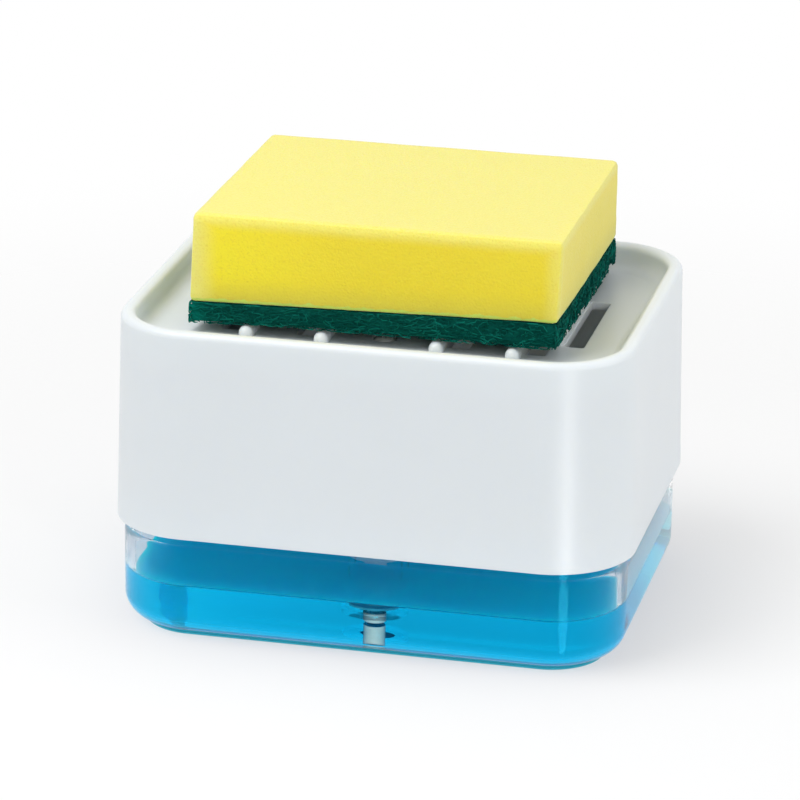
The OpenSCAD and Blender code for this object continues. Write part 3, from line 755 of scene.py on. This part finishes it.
look = Vector((-math.sin(CAMERA_TURN) * math.cos(CAMERA_RISE),
               math.cos(CAMERA_TURN) * math.cos(CAMERA_RISE), -math.sin(CAMERA_RISE)))
camera_data = bpy.data.cameras.new("camera")
camera_data.lens = CAMERA_LENS
camera_data.sensor_width = CAMERA_SENSOR
camera_data.clip_start = CAMERA_NEAR
camera = bpy.data.objects.new("camera", camera_data)
bpy.context.scene.collection.objects.link(camera)
turn = look.to_track_quat("-Z", "Y").to_matrix().to_4x4() @ Matrix.Rotation(CAMERA_ROLL, 4, "Z")
camera.matrix_world = Matrix.Translation(CAMERA_AIM - look * CAMERA_DISTANCE) @ turn
bpy.context.scene.camera = camera

floor_mesh = bmesh.new()
bmesh.ops.create_grid(floor_mesh, x_segments=1, y_segments=1, size=FLOOR_REACH)
floor_data = bpy.data.meshes.new("floor")
floor_mesh.to_mesh(floor_data)
floor_mesh.free()
floor = bpy.data.objects.new("floor", floor_data)
bpy.context.scene.collection.objects.link(floor)
floor_white, wire = start_material("floor_white")
diffuse = wire.node("ShaderNodeBsdfDiffuse", sockets={"Color": FLOOR_PALE})
bright = wire.node("ShaderNodeEmission", sockets={"Color": WHITE})
lifted = wire.node("ShaderNodeMixShader", sockets={0: wire.seen_rays() * FLOOR_LIFT, 1: diffuse, 2: bright})
distance = wire.node("ShaderNodeVectorMath", {"operation": "LENGTH"}, {0: wire.place()}, out="Value")
nothing = wire.node("ShaderNodeBsdfTransparent")
end_material(wire, wire.node("ShaderNodeMixShader", sockets={
    0: wire.ramp(distance, FLOOR_FADE_END, FLOOR_FADE_START), 1: nothing, 2: lifted}))
floor.data.materials.append(floor_white)

glint_mesh = bmesh.new()
corner_out = Matrix.Rotation(GLINT_START, 3, "Z") @ Vector((0, -TUB_CORNER, 0))
glint_start = Vector((RUN_X, -RUN_Y, 0)) + corner_out
for reach, side in ((GLINT_NEAR, -1), (GLINT_NEAR, 1), (GLINT_FAR, 1), (GLINT_FAR, -1)):
    swing = Matrix.Rotation(GLINT_HEADING + side * GLINT_SPREAD, 3, "Z")
    glint_mesh.verts.new(glint_start + swing @ Vector((0, -reach, GLINT_LIFT)))
glint_mesh.faces.new(list(glint_mesh.verts))
glint_data = bpy.data.meshes.new("glint")
glint_mesh.to_mesh(glint_data)
glint_mesh.free()
glint_white, wire = start_material("glint_white")
end_material(wire, wire.node("ShaderNodeEmission", sockets={"Color": WHITE, "Strength": GLINT_STRENGTH}))
glint_data.materials.append(glint_white)
glint = bpy.data.objects.new("glint", glint_data)
bpy.context.scene.collection.objects.link(glint)
glint.visible_camera = False
glint.visible_diffuse = False
glint.visible_transmission = False
glint.visible_shadow = False


def softbox(name, place, target, size, power):
    """A rectangular area light that faces a point."""
    data = bpy.data.lights.new(name, "AREA")
    data.shape = "RECTANGLE"
    data.size, data.size_y = size
    data.energy = power
    lamp = bpy.data.objects.new(name, data)
    bpy.context.scene.collection.objects.link(lamp)
    facing = (Vector(target) - Vector(place)).to_track_quat("-Z", "Y").to_matrix().to_4x4()
    lamp.matrix_world = Matrix.Translation(place) @ facing
    return lamp


softbox("key", (-0.40, -0.35, 1.05), LIT_POINT, size=(0.6, 0.6), power=6.5)
softbox("right_strip", (0.55, -0.95, 0.30), LIT_POINT, size=(0.08, 0.7), power=1.6)
softbox("right_fill", (1.0, -0.1, 0.45), LIT_POINT, size=(0.8, 0.8), power=2.4)

tube_low, tube_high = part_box("dip_tube")
tube_centre = (tube_low + tube_high) / 2
tube_lamp = softbox("tube_lamp", tube_centre + TUBE_LAMP_AWAY, tube_centre, TUBE_LAMP_SIZE, TUBE_LAMP_POWER)
tube_lamp.data.color = TUBE_LAMP_COLOUR
tube_lamp.visible_camera = False
tube_lamp.visible_glossy = False
tube_lamp.visible_transmission = False
lit_pieces = bpy.data.collections.new("lit_by_tube_lamp")
lit_pieces.objects.link(nodes["dip_tube"])
tube_lamp.light_linking.receiver_collection = lit_pieces

world = bpy.data.worlds.new("studio")
bpy.context.scene.world = world
world.use_nodes = True
world.node_tree.nodes.clear()
wire = Wire(world.node_tree)
# The background looks white, and lights the caddy a little less than that.
glow = wire.node("ShaderNodeBackground", sockets={
    "Color": WHITE, "Strength": wire.seen_rays() * (1 - AMBIENT) + AMBIENT})
sky = world.node_tree.nodes.new("ShaderNodeOutputWorld")
world.node_tree.links.new(glow.socket, sky.inputs["Surface"])

bpy.context.scene.view_settings.view_transform = "Standard"
# Light crosses many clear faces between the tub, the soap and the pump, and is thrown back inside them.
paths = bpy.context.scene.cycles
paths.max_bounces = BOUNCES
paths.transmission_bounces = BOUNCES
paths.glossy_bounces = BOUNCES
paths.transparent_max_bounces = 2 * BOUNCES
